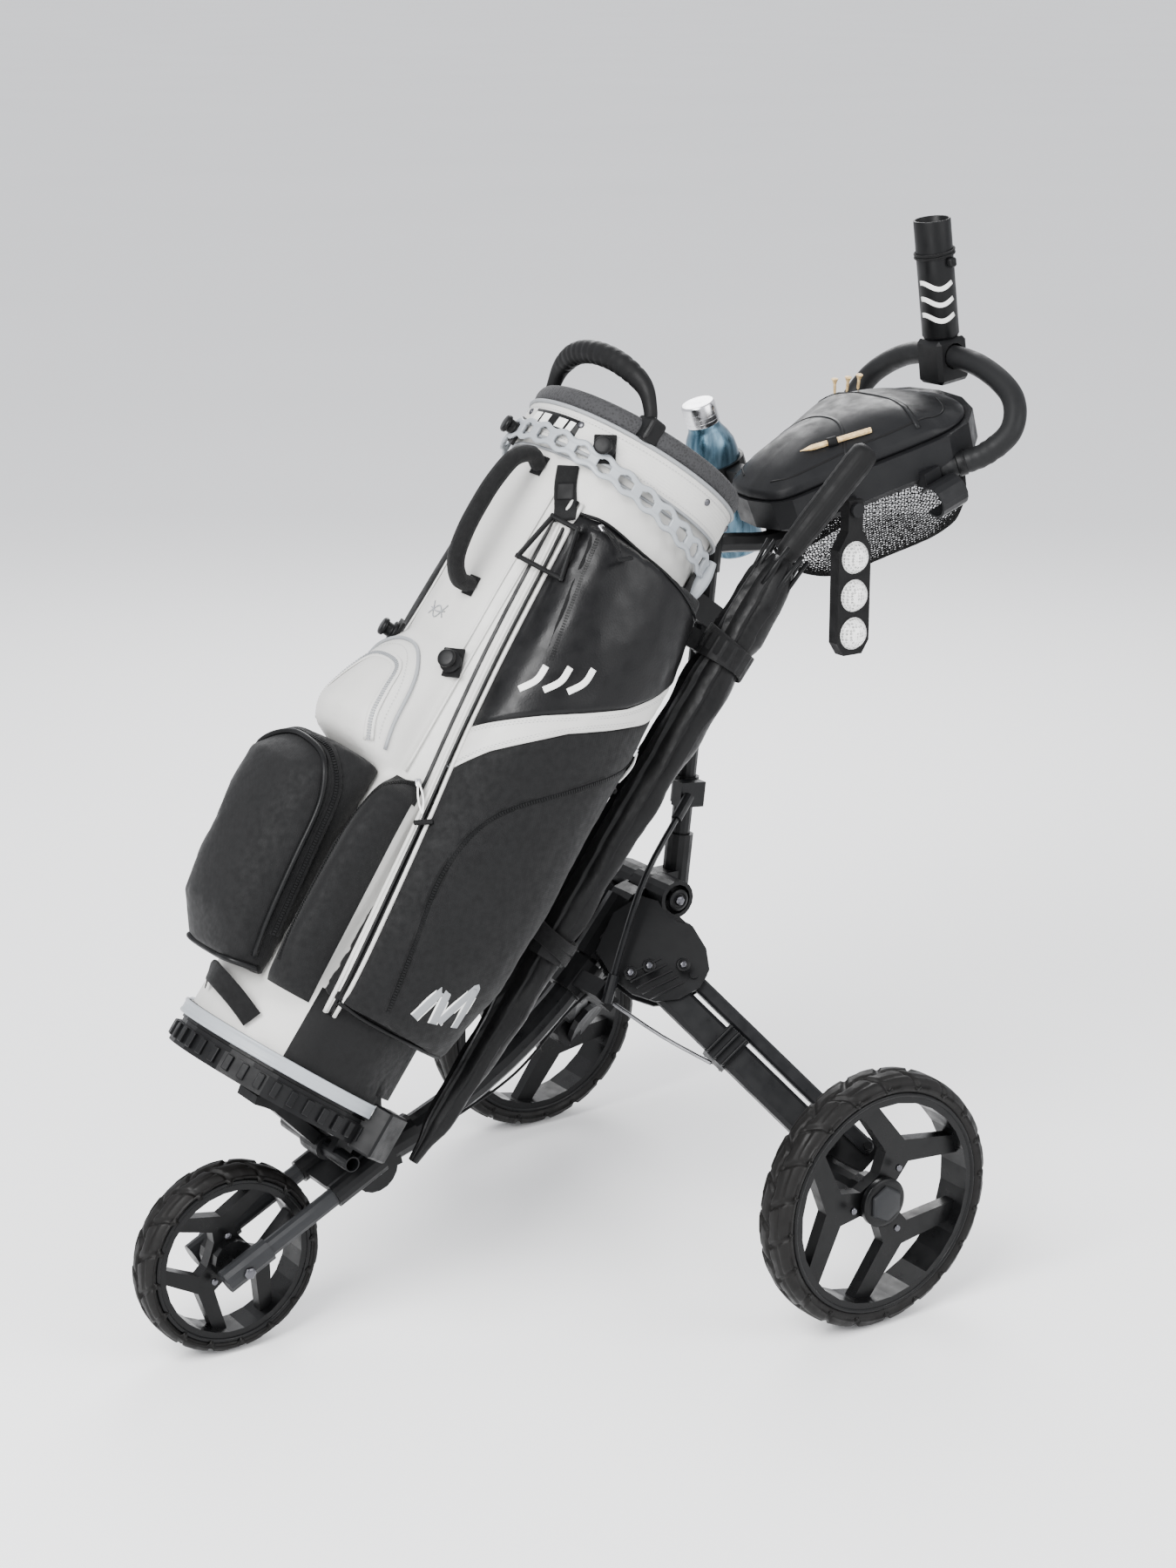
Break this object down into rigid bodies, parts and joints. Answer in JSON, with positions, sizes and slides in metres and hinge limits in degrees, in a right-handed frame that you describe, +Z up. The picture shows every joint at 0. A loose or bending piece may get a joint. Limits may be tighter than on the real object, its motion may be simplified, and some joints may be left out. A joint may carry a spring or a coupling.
{
  "type": "golf bag on push cart",
  "caption": "Padded golf bag strapped to a folding push cart with spoked wheels, a storage console, a loop handle, an umbrella and a bottle",
  "frame": {"origin": "bottom centre of the bounding box, on the ground", "axes": "+Z up, +Y toward the push handle, -Y toward the small front wheel, +X toward the cart's left side, where the umbrella is carried"},
  "size_m": [0.783, 1.1773, 1.2393],
  "materials": {
    "frame_metal": "satin powder coat",
    "frame_plastic": "fine matte moulding",
    "strut_metal": "satin",
    "steel": "satin",
    "tyre": "matte foam tread",
    "rim": "satin black",
    "strap": "smooth light grey elastic",
    "console": "matte charcoal",
    "grip": "soft grip",
    "net": "open mesh",
    "ball": "dimpled gloss white",
    "bag_fabric": "padded woven and coated fabric",
    "bag_trim": "off-white grained synthetic leather",
    "bag_plastic": "matte",
    "bottle": "metallic"
  },
  "bodies": {
    "frame": {"main_tube": "frame_metal", "lower_knuckle": "frame_plastic", "lower_cradle": "frame_plastic", "cross_tube": "frame_metal", "lower_strap": "strap", "hub_housing": "frame_plastic", "wing_left": "frame_plastic", "wing_right": "frame_plastic", "upper_socket": "frame_plastic", "upper_tube": "frame_metal", "upper_bracket": "frame_plastic", "upper_strap": "strap", "console_tray": "console", "console_mount": "frame_plastic", "net_bag": "net", "handle_loop": "grip", "handle_clamp": "frame_plastic", "umbrella_tube": "frame_plastic", "bag_foot": "bag_plastic", "bag_body": "bag_fabric", "bag_cuff": "bag_trim", "club_divider": "bag_plastic", "top_handle": "bag_plastic", "carry_handle": "bag_plastic", "front_pocket": "bag_fabric", "side_pocket_left": "bag_fabric", "side_pocket_right": "bag_fabric", "umbrella_canopy": "bag_fabric", "umbrella_grip": "grip", "umbrella_strap_upper": "bag_fabric", "umbrella_strap_lower": "bag_fabric", "bottle_holder": "frame_plastic"},
    "bottle": {"bottle": "bottle"},
    "fork": {"fork_yoke": "frame_plastic", "fork_leg_left": "frame_plastic", "fork_leg_right": "frame_plastic", "front_axle": "steel"},
    "front_wheel": {"front_tyre": "tyre", "front_rim": "rim"},
    "left_leg": {"leg_left": "frame_metal"},
    "right_leg": {"leg_right": "frame_metal"},
    "left_strut": {"strut_left": "strut_metal"},
    "right_strut": {"strut_right": "strut_metal"},
    "left_carrier": {"wheel_carrier_left": "frame_plastic"},
    "right_carrier": {"wheel_carrier_right": "frame_plastic"},
    "left_wheel": {"rear_left_tyre": "tyre", "rear_left_rim": "rim"},
    "right_wheel": {"rear_right_tyre": "tyre", "rear_right_rim": "rim"},
    "slider": {"slider_collar": "frame_plastic"},
    "left_stay": {"stay_left": "steel"},
    "right_stay": {"stay_right": "steel"},
    "link": {"link_rod": "strut_metal"},
    "pedal": {"foot_pedal": "frame_plastic"},
    "lid": {"console_lid": "console"},
    "ball_strip": {"ball_holder": "grip", "golf_ball_1": "ball", "golf_ball_2": "ball", "golf_ball_3": "ball"},
    "ring": {"towel_ring": "bag_plastic"}
  },
  "joints": [
    {"name": "fork_fold", "type": "hinge", "parent": "frame", "child": "fork", "pos_m": [0, -0.29642, 0.18996], "axis": [1, 0, 0], "range_deg": [0, 115]},
    {"name": "front_wheel_spin", "type": "hinge", "parent": "fork", "child": "front_wheel", "pos_m": [0, -0.4753, 0.1134], "axis": [1, 0, 0], "continuous": true},
    {"name": "left_leg_fold", "type": "hinge", "parent": "frame", "child": "left_leg", "pos_m": [0.08, 0.0596, 0.378], "axis": [-0.7306, 0.4389, -0.5231], "range_deg": [0, 70]},
    {"name": "right_leg_fold", "type": "hinge", "parent": "frame", "child": "right_leg", "pos_m": [-0.08, 0.0596, 0.378], "axis": [-0.7306, -0.4389, 0.5231], "range_deg": [0, 70]},
    {"name": "left_strut_fold", "type": "hinge", "parent": "frame", "child": "left_strut", "pos_m": [0.11184, 0.10405, 0.37083], "axis": [-0.7306, 0.4389, -0.5231], "range_deg": [0, 70]},
    {"name": "right_strut_fold", "type": "hinge", "parent": "frame", "child": "right_strut", "pos_m": [-0.11184, 0.10405, 0.37083], "axis": [-0.7306, -0.4389, 0.5231], "range_deg": [0, 70]},
    {"name": "left_carrier_level", "type": "hinge", "parent": "left_leg", "child": "left_carrier", "pos_m": [0.27722, 0.17532, 0.19963], "axis": [-0.7306, 0.4389, -0.5231], "range_deg": [-70, 0]},
    {"name": "right_carrier_level", "type": "hinge", "parent": "right_leg", "child": "right_carrier", "pos_m": [-0.27722, 0.17532, 0.19963], "axis": [-0.7306, -0.4389, 0.5231], "range_deg": [-70, 0]},
    {"name": "left_wheel_spin", "type": "hinge", "parent": "left_carrier", "child": "left_wheel", "pos_m": [0.365, 0.1825, 0.156], "axis": [1, 0, 0], "continuous": true},
    {"name": "right_wheel_spin", "type": "hinge", "parent": "right_carrier", "child": "right_wheel", "pos_m": [-0.365, 0.1825, 0.156], "axis": [1, 0, 0], "continuous": true},
    {"name": "slider_travel", "type": "hinge", "parent": "frame", "child": "slider", "pos_m": [0, -0.4352, 0.8134], "axis": [1, 0, 0], "range_deg": [-21.12, 0]},
    {"name": "left_stay_swing", "type": "hinge", "parent": "slider", "child": "left_stay", "pos_m": [0.036, 0.03781, 0.32529], "axis": [0.012, -0.9901, 0.14], "range_deg": [0, 50.5]},
    {"name": "right_stay_swing", "type": "hinge", "parent": "slider", "child": "right_stay", "pos_m": [-0.036, 0.03781, 0.32529], "axis": [0.012, 0.9901, -0.14], "range_deg": [0, 50.5]},
    {"name": "link_swing", "type": "hinge", "parent": "slider", "child": "link", "pos_m": [0.08, 0.0016, 0.356], "axis": [0.9146, 0.394, -0.0912], "range_deg": [0, 11.23]},
    {"name": "pedal_press", "type": "hinge", "parent": "frame", "child": "pedal", "pos_m": [0, -0.35059, 0.22357], "axis": [1, 0, 0], "range_deg": [0, 25], "stiffness_Nm_per_rad": 1, "springref_deg": -20.05},
    {"name": "lid_open", "type": "hinge", "parent": "frame", "child": "lid", "pos_m": [0, 0.26296, 0.92065], "axis": [1, 0, 0], "range_deg": [0, 60]},
    {"name": "ball_strip_swing", "type": "hinge", "parent": "frame", "child": "ball_strip", "pos_m": [0.098, 0.34199, 0.91111], "axis": [1, 0, 0], "range_deg": [-25, 8]},
    {"name": "towel_ring_swing", "type": "hinge", "parent": "frame", "child": "ring", "pos_m": [0.09684, -0.06973, 0.9396], "axis": [-0.7314, -0.5489, 0.4047], "range_deg": [0, 80]},
    {"name": "bottle_lift", "type": "slide", "parent": "frame", "child": "bottle", "axis": [0, -0.342, 0.9397], "range_m": [0, 0.12]}
  ],
  "couplings": [
    {"joint": "right_leg_fold", "follows": "left_leg_fold", "ratio": 1},
    {"joint": "left_strut_fold", "follows": "left_leg_fold", "ratio": 1},
    {"joint": "right_strut_fold", "follows": "left_leg_fold", "ratio": 1},
    {"joint": "left_carrier_level", "follows": "left_leg_fold", "ratio": -1},
    {"joint": "right_carrier_level", "follows": "left_leg_fold", "ratio": -1},
    {"joint": "slider_travel", "follows": "left_leg_fold", "ratio": -0.29457},
    {"joint": "left_stay_swing", "follows": "left_leg_fold", "ratio": 0.71429},
    {"joint": "right_stay_swing", "follows": "left_leg_fold", "ratio": 0.71429},
    {"joint": "link_swing", "follows": "left_leg_fold", "ratio": 0.15329}
  ]
}
